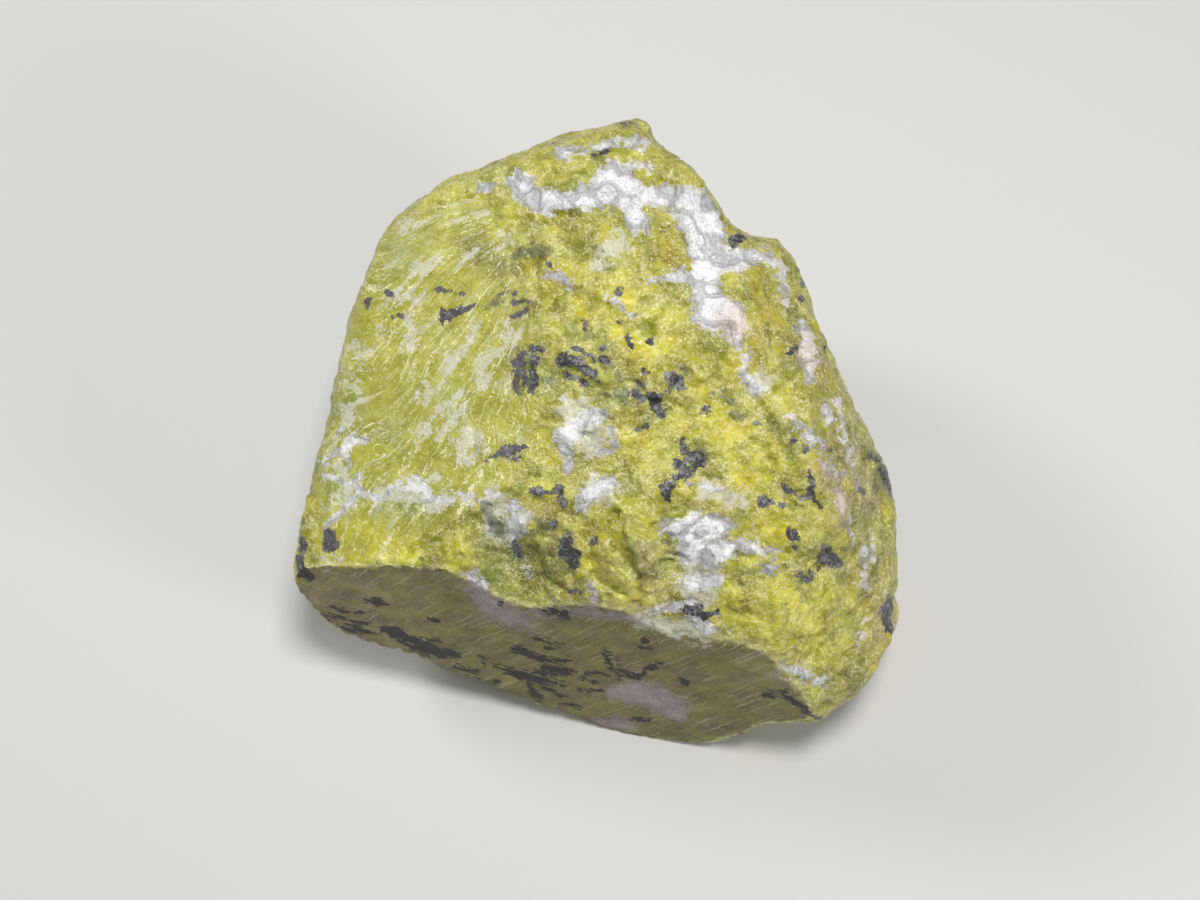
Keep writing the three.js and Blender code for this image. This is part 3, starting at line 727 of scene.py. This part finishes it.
vein_gap = np.maximum(gap_to(WHITE), -gap_to(GREEN_ISLANDS))
marks = {
    "black": np.minimum(gap_to(BLACK_ON_SHEARED + BLACK_ON_BROAD + BLACK_ON_SAW_CUT), hidden_black),
    "grey": gap_to(GREY),
    "white": np.minimum(np.minimum(vein_gap, gap_to(CRUST_ON_SAW_CUT)), hidden_white),
    "haze": np.minimum(gap_to(HAZE), hidden_white - HAZE_ROUND_WHITE),
    "sheared": sheared,
    "saw_cut": on_saw,
    "below_rim": np.clip(-above_saw(points), 0, FAR),
}


def add_layer(name, kind, key, *columns):
    """Keeps numbers with every corner of the skin, for the finish to read."""
    layer = stone.data.attributes.new(name, kind, "POINT")
    layer.data.foreach_set(key, np.column_stack(columns).astype(np.float32).ravel())


for name, values in marks.items():
    add_layer(name, "FLOAT", "value", values)
add_layer("tone", "FLOAT_COLOR", "color", tone, np.ones(len(points)))
add_layer("white_tone", "FLOAT_COLOR", "color", white_tone, np.ones(len(points)))
add_layer("fan", "FLOAT_VECTOR", "vector", fan_across, fan_along, np.zeros(len(points)))

# --- The rock's finish ----------------------------------------------------------------
# Serpentine has a waxy sheen, and breaks into splinters that each catch the light their own way. The
# material mixes broken, sheared and sawn rock, lays white, grey and black over them with ragged edges,
# and gives each its gloss and fine relief. Its patterns are fixed in the rock. Their sizes are in mm.

CREAM_SPLINTER = colour(230, 225, 146)
CREAM_SEAM = colour(236, 232, 178)
# Painted glints: the brightest cream specks of the broken rock.
CREAM_PAINTED_GLINT = colour(246, 244, 206)
PALE_STREAK = colour(214, 211, 140)
FAN_HAZE = colour(203, 202, 180)
FAN_SEAM = colour(236, 234, 190)
# Painted glints on the sheared face.
SHEARED_PAINTED_GLINT = colour(240, 239, 204)
PALE_THREAD = colour(234, 233, 204)
SAWN_SPLINTER = colour(184, 178, 140)
SAW_LINE = colour(188, 183, 156)
PALE_RIM_BAND = colour(222, 218, 160)
THIN_WHITE = colour(206, 206, 194)
GREY_GREEN = colour(88, 95, 76)
MAGNETITE = colour(60, 60, 62)
MAGNETITE_GLINT = colour(122, 124, 124)
SHEARED_MAGNETITE = colour(84, 78, 80)
SAWN_MAGNETITE = colour(20, 17, 18)

serpentine = bpy.data.materials.new("serpentine_rock")
serpentine.use_nodes = True
tree = serpentine.node_tree
shader = tree.nodes["Principled BSDF"]


def plug(socket, value):
    """Wires a socket to another, or sets it to a number, a vector or a colour."""
    if isinstance(value, bpy.types.NodeSocket):
        tree.links.new(value, socket)
    elif isinstance(value, np.ndarray):
        socket.default_value = (*value, 1)
    else:
        socket.default_value = value


def node(kind, output, inputs, **settings):
    """An output, by name or number, of a new node with those settings and inputs."""
    made = tree.nodes.new("ShaderNode" + kind)
    for name, value in settings.items():
        setattr(made, name, value)
    for name, value in inputs.items():
        plug(made.inputs[name], value)
    return made.outputs[output]


def calc(operation, *values):
    return node("Math", 0, dict(enumerate(values)), operation=operation)


def plus(a, b):
    return calc("ADD", a, b)


def minus(a, b):
    return calc("SUBTRACT", a, b)


def times(a, b):
    return calc("MULTIPLY", a, b)


def turn(operation, *values):
    """Vector arithmetic."""
    inputs = zip((0, "Scale") if operation == "SCALE" else (0, 1), values)
    output = "Value" if operation == "DOT_PRODUCT" else 0
    return node("VectorMath", output, dict(inputs), operation=operation)


def soft(value, start, end):
    """0 at start and 1 at end, with an easy curve between."""
    inputs = {"Value": value, "From Min": start, "From Max": end}
    return node("MapRange", 0, inputs, interpolation_type="SMOOTHSTEP")


def level_line(a, b, half, core=0.003):
    """1 along the thin line on which two patterns are level, in their own units."""
    return soft(calc("ABSOLUTE", minus(a, b)), half, core)


def grainy(place, size, detail=2.0, rough=0.55, output="Fac"):
    """Cloudy noise, 0 to 1, with clouds of that size in mm."""
    inputs = {"Vector": place, "Scale": 1 / size, "Detail": detail, "Roughness": rough}
    return node("TexNoise", output, inputs)


def cells(place, size):
    """The outputs of a pattern of cells of that size in mm."""
    colours = node("TexVoronoi", "Color", {"Vector": turn("SCALE", place, 1 / size), "Scale": 1})
    return colours.node.outputs


def lerp(share, a, b, kind="FLOAT"):
    """Goes from a to b as the share goes from 0 to 1."""
    return node("Mix", "Result", {"Factor": share, "A": a, "B": b}, data_type=kind)


def blend(share, a, b):
    """The same for colours."""
    return lerp(share, a, b, "RGBA")


def shaded(share, base, factors):
    """A colour multiplied by factors for red, green and blue where the share is 1."""
    return blend(share, base, turn("MULTIPLY", base, factors))


def laid(base, tone, pattern, start, end, strength):
    """A colour laid over another where a pattern goes from start to end."""
    return blend(times(soft(pattern, start, end), strength), base, tone)


def centred(pattern):
    """A pattern of 0 to 1 in three channels, moved to -0.5 to 0.5."""
    return turn("SUBTRACT", pattern, (0.5, 0.5, 0.5))


def layer_of(name, output="Fac"):
    return node("Attribute", output, {}, attribute_name=name)


place = turn("SCALE", node("TexCoord", "Object", {}), 1 / MM)
wobble = centred(grainy(place, 1.6, 1.0, 0.5, "Color"))
wobbled = turn("ADD", place, turn("SCALE", wobble, 1.2))
fan_place = turn("ADD", layer_of("fan", "Vector"), turn("SCALE", wobble, 1.1))
ragged = minus(grainy(place, 3.0, 5.0, 0.68), 0.5)
speck = minus(grainy(place, 0.55, 2.0, 0.6), 0.5)
mottle = centred(grainy(place, 6.0, 5.0, 0.6, "Color"))
mottle_a = turn("DOT_PRODUCT", mottle, (1, 0, 0))
mottle_b = turn("DOT_PRODUCT", mottle, (0, 1, 0))
crystal = cells(wobbled, 1.3)
crystal_share = minus(turn("DOT_PRODUCT", crystal["Color"], (1, 0, 0)), 0.5)
is_sheared = soft(plus(layer_of("sheared"), ragged), 0.3, 0.7)
is_saw_cut = layer_of("saw_cut")


def drawn_way(x, y, z):
    """A way in the drawing frame, as one in the row frame."""
    return unit((x, y, z)) @ FACE_AXES


def drawn_out(way, across, long, wide):
    """Cloudy noise, 0 to 1, in clouds drawn out along a way that is fixed in the rock."""
    x = times(turn("DOT_PRODUCT", wobbled, tuple(across)), 1 / wide)
    y = times(turn("DOT_PRODUCT", wobbled, tuple(way)), 1 / long)
    return grainy(node("CombineXYZ", 0, {0: x, 1: y}), 1.0, 3.0, 0.62)


# The saw left fine lines that run up to the right over its cut. The lenses in it lie down to the right.
SAW_LINES = drawn_way(1.0, 0.55, 1.135)
LENS_WAY = drawn_way(0.94, -0.28, -0.086)
SAW_OUT = SAW_FACES @ FACE_AXES
saw_lines = drawn_out(SAW_LINES, np.cross(SAW_OUT, SAW_LINES), 16, 0.42)
lens_grain = drawn_out(LENS_WAY, np.cross(SAW_OUT, LENS_WAY), 5.5, 0.8)


def fanned(wide, long, detail, rough):
    """Cloudy noise, 0 to 1, in clouds drawn out along the fan of the sheared face."""
    return grainy(turn("MULTIPLY", fan_place, (1 / wide, 1 / long, 1)), 1.0, detail, rough)


streaks = fanned(0.52, 10.0, 2.0, 0.6)
ribs_shade = fanned(3.0, 11.0, 3.0, 0.6)
fan_haze = fanned(2.4, 11.0, 4.0, 0.62)
fan_line = fanned(3.2, 26.0, 2.0, 0.5)


def within(name, widen, edge, raggedness, speckle, crystals):
    """1 inside a mark, with a ragged and speckled edge that follows the crystals of the rock."""
    gap = minus(layer_of(name), raggedness)
    gap = minus(gap, times(speck, speckle))
    gap = minus(gap, times(crystal_share, crystals))
    return soft(gap, widen + edge, widen - edge)


def facets(size, lean):
    """Height in mm of small flat chips that lean their own ways."""
    cell = cells(wobbled, size)
    way = centred(cell["Color"])
    offset = turn("SUBTRACT", turn("SCALE", wobbled, 1 / size), cell["Position"])
    return times(turn("DOT_PRODUCT", way, offset), size * lean)


# Splinters lie their own way in each clump.
clump = cells(wobbled, 2.4)
splinter_way = turn("NORMALIZE", centred(clump["Color"]))
pressed = turn("SCALE", splinter_way, times(turn("DOT_PRODUCT", place, splinter_way), 0.78))
splinters = grainy(turn("SUBTRACT", place, pressed), 0.36, 3.0, 0.62)

# Broken rock: each chip has its own shade, from olive to yellow, with cream splinters and cream seams.
tone_here = layer_of("tone", "Color")
chip = centred(cells(wobbled, 3.4)["Color"])
chip_shade = plus(times(turn("DOT_PRODUCT", chip, (0, 1, 0)), 0.34), times(mottle_a, 1.5))
chip_tone = turn("SCALE", tone_here, plus(0.88, chip_shade))
hue = plus(mottle_b, times(turn("DOT_PRODUCT", chip, (0, 0, 1)), 0.12))
chip_tone = shaded(soft(hue, 0.02, 0.12), chip_tone, (0.78, 0.86, 0.80))
chip_tone = shaded(soft(hue, -0.02, -0.14), chip_tone, (1.05, 1.0, 0.62))
fresh = soft(grainy(turn("ADD", place, (40, 0, 0)), 6.5, 3.0, 0.6), 0.47, 0.55)
splintery = minus(1.0, times(fresh, 0.8))
chip_tone = shaded(fresh, chip_tone, (0.93, 0.96, 0.76))
dark_share = times(soft(splinters, 0.48, 0.30), splintery)
broken_rock = shaded(dark_share, chip_tone, (0.74, 0.74, 0.6))
cream_share = times(times(soft(splinters, 0.54, 0.68), 0.62), splintery)
broken_rock = blend(cream_share, broken_rock, CREAM_SPLINTER)
seam = level_line(mottle_b, times(ragged, 0.5), 0.014)
finer_seam = level_line(times(mottle_a, 1.4), ragged, 0.015)
seams = calc("MAXIMUM", seam, times(finer_seam, soft(speck, -0.04, 0.10)))
broken_rock = blend(times(seams, 0.5), broken_rock, CREAM_SEAM)
# Painted glints: small bright cream specks scattered over the broken rock.
painted_glint_share = times(times(soft(speck, 0.12, 0.20), 0.75), splintery)
broken_rock = blend(painted_glint_share, broken_rock, CREAM_PAINTED_GLINT)

# Sheared rock: streaks and long fine seams that fan out, with grey-white haze between them.
sheared_tone = turn("SCALE", tone_here, plus(0.98, times(mottle_a, 1.0)))
sheared_rock = shaded(soft(ribs_shade, 0.54, 0.38), sheared_tone, (0.82, 0.84, 0.62))
sheared_rock = laid(sheared_rock, PALE_STREAK, streaks, 0.56, 0.70, 0.5)
sheared_rock = laid(sheared_rock, FAN_HAZE, fan_haze, 0.565, 0.62, 0.4)
fan_seam = times(level_line(fan_line, 0.5, 0.018), soft(streaks, 0.38, 0.52))
sheared_rock = blend(times(fan_seam, 0.75), sheared_rock, FAN_SEAM)
# Painted glints: small bright specks over the sheared face.
sheared_rock = laid(sheared_rock, SHEARED_PAINTED_GLINT, speck, 0.15, 0.22, 0.7)
rock = blend(is_sheared, broken_rock, sheared_rock)
thread = times(level_line(ragged, 0.02, 0.012), soft(streaks, 0.40, 0.56))
rock = blend(times(thread, lerp(is_sheared, 0.6, 0.3)), rock, PALE_THREAD)

# Sawn rock: dull and mottled, scratched by the saw, with a pale cream band along its rim.
# Its tone is the dark sawn one, partly dull rock and partly painted shade.
sawn_rock = turn("SCALE", tone_here, plus(1.0, times(mottle_a, 2.2)))
sawn_rock = shaded(soft(mottle_b, 0.0, 0.1), sawn_rock, (0.92, 0.88, 1.25))
sawn_rock = shaded(soft(mottle_b, 0.0, -0.1), sawn_rock, (1.0, 1.08, 0.7))
dark_lens = times(soft(lens_grain, 0.48, 0.36), 0.55)
sawn_rock = shaded(dark_lens, sawn_rock, (0.6, 0.58, 0.55))
dark_speck = times(soft(speck, -0.06, -0.2), 0.7)
sawn_rock = shaded(dark_speck, sawn_rock, (0.6, 0.6, 0.55))
sawn_rock = laid(sawn_rock, SAWN_SPLINTER, splinters, 0.56, 0.7, 0.5)
sawn_rock = laid(sawn_rock, SAW_LINE, saw_lines, 0.57, 0.64, 0.62)
rock = blend(is_saw_cut, rock, sawn_rock)
rim = soft(plus(layer_of("below_rim"), times(ragged, 3.0)), 1.3, 0.1)
rim = times(rim, minus(1.0, is_saw_cut))
rock = blend(times(rim, 0.65), rock, PALE_RIM_BAND)

# White: thin haze that the rock shows through, then solid white with creases, darker towards its edge.
haze_edge = times(minus(fan_haze, 0.5), 9.0)
haze_edge = plus(haze_edge, times(ragged, 2.5))
haze_edge = lerp(is_sheared, times(ragged, 9.0), haze_edge)
rock = blend(times(within("haze", 0, 0.9, haze_edge, 4, 2), 0.66), rock, THIN_WHITE)
white_here = layer_of("white_tone", "Color")
# Partly grey and bright talc, partly painted highlights and painted shade: random brighter and darker
# patches over the white's small chips.
white_highlights_and_greys = plus(times(minus(splinters, 0.5), 1.3), times(mottle_a, 0.8))
white_highlights_and_greys = plus(white_highlights_and_greys, times(speck, 0.6))
white_shade = blend(soft(white_highlights_and_greys, -0.16, 0.02), turn("SCALE", white_here, 0.67), white_here)
white_shade = blend(soft(white_highlights_and_greys, 0.05, 0.24), white_shade, turn("SCALE", white_here, 1.2))
# Painted shade: the white is darkened along its creases, which the relief also sinks.
fold = level_line(mottle_a, times(ragged, 0.6), 0.035, 0.0)
white_shade = blend(times(fold, 0.42), white_shade, turn("SCALE", white_here, 0.55))
core = soft(minus(layer_of("white"), times(ragged, 4.0)), 0.2, -1.8)
white_shade = turn("SCALE", white_shade, lerp(core, 0.88, 1.04))
white_edge = times(ragged, lerp(is_sheared, 4.4, 1.8))
is_white = within("white", 0.2, 0.22, white_edge, 1.2, 1.5)
rock = blend(times(is_white, lerp(core, 0.78, 1.0)), rock, white_shade)

# Grey and black: on the sheared face their edges follow the streaks, and on the saw cut the lenses.
grey_edge = times(ragged, 6.0)
rock = blend(times(within("grey", 0, 0.5, grey_edge, 4, 1.5), 0.72), rock, GREY_GREEN)
black_edge = lerp(is_sheared, times(ragged, 4.2), times(minus(streaks, 0.5), 1.1))
black_edge = lerp(is_saw_cut, black_edge, times(minus(lens_grain, 0.5), 3.6))
is_black = within("black", 0.12, 0.12, black_edge, lerp(is_saw_cut, 1.7, 0.8), 0.8)
glint = soft(plus(speck, times(crystal_share, 0.3)), 0.0, 0.16)
black_shade = blend(glint, MAGNETITE, MAGNETITE_GLINT)
black_shade = blend(times(is_sheared, 0.6), black_shade, SHEARED_MAGNETITE)
black_shade = blend(times(is_saw_cut, 0.9), black_shade, SAWN_MAGNETITE)
rock = blend(is_black, rock, black_shade)
plug(shader.inputs["Base Color"], rock)

# Gloss: fresh chips shine most, and chalky white and the saw cut are dull.
rough = plus(lerp(fresh, 0.3, 0.22), times(speck, 0.6))
rough = lerp(is_white, rough, 0.6)
rough = lerp(is_black, rough, 0.3)
plug(shader.inputs["Roughness"], lerp(is_saw_cut, rough, 0.55))

# Fine relief, in mm.
broken_relief = plus(times(splinters, 0.22), times(speck, 0.16))
broken_relief = plus(facets(2.4, 0.5), times(broken_relief, splintery))
sheared_relief = plus(times(streaks, 0.20), times(speck, 0.10))
relief = lerp(layer_of("sheared"), broken_relief, sheared_relief)
relief = plus(relief, times(ragged, 0.5))
relief = minus(relief, times(is_black, 0.08))
relief = minus(relief, times(times(fold, is_white), 0.22))
relief = lerp(is_saw_cut, relief, plus(times(saw_lines, 0.05), times(speck, 0.04)))
bump = node("Bump", "Normal", {"Strength": 1, "Distance": MM, "Height": relief})
plug(shader.inputs["Normal"], bump)
stone.data.materials.clear()
stone.data.materials.append(serpentine)

# --- The floor, the light and the camera ----------------------------------------------
# A sheet of pale paper, a large soft lamp overhead, and weaker ones at the left and the right that bring
# out the relief. The camera looks square onto the broad face.

FLOOR_HALF = 1.5  # m
PAPER = (0.6, 0.595, 0.58, 1)
PAPER_ROUGH = 0.9
ROOM_LIGHT = (0.92, 0.96, 1, 1)
ROOM_STRENGTH = 0.15
LAMP_DISTANCE = 0.9  # m from the middle of the stone
LAMPS = (  # name, way to the lamp, m across, watts, tone
    ("overhead_lamp", (0.1, 0.05, 0.99), 0.24, 6.8, (1, 0.985, 0.96)),
    ("left_lamp", (-0.7, 0.4, 0.6), 0.22, 2.9, (1, 1, 1)),
    ("right_lamp", (0.8, -0.45, 0.45), 0.3, 2.6, (1, 0.99, 0.97)),
)
LENS = 53.33  # mm
SENSOR = 36  # mm
NEAREST_SEEN = 0.01  # m

floor_mesh = bpy.data.meshes.new("floor")
sheet = bmesh.new()
bmesh.ops.create_grid(sheet, x_segments=1, y_segments=1, size=FLOOR_HALF)
sheet.to_mesh(floor_mesh)
sheet.free()
floor = new_object("floor", floor_mesh)
paper = bpy.data.materials.new("pale_paper")
paper.use_nodes = True
paper_shader = paper.node_tree.nodes["Principled BSDF"]
paper_shader.inputs["Base Color"].default_value = PAPER
paper_shader.inputs["Roughness"].default_value = PAPER_ROUGH
floor_mesh.materials.append(paper)

room = bpy.data.worlds.new("room")
bpy.context.scene.world = room
room.use_nodes = True
room_light = room.node_tree.nodes["Background"]
room_light.inputs["Color"].default_value = ROOM_LIGHT
room_light.inputs["Strength"].default_value = ROOM_STRENGTH

for name, towards_lamp, size, watts, lamp_tone in LAMPS:
    lamp = bpy.data.lights.new(name, "AREA")
    lamp.shape = "DISK"
    lamp.size = size
    lamp.energy = watts
    lamp.color = lamp_tone
    holder = new_object(name, lamp)
    way = Vector(towards_lamp).normalized()
    holder.location = MIDDLE + way * LAMP_DISTANCE
    holder.rotation_euler = way.to_track_quat("Z", "Y").to_euler()

camera_data = bpy.data.cameras.new("camera")
camera_data.lens = LENS
camera_data.sensor_width = SENSOR
camera_data.clip_start = NEAREST_SEEN
camera = new_object("camera", camera_data)
camera.location = MIDDLE + OUT * VIEW_DISTANCE * MM
camera.rotation_euler = (TIP, 0, 0)
bpy.context.scene.camera = camera
bpy.context.scene.view_settings.view_transform = "Standard"

bpy.context.view_layer.update()
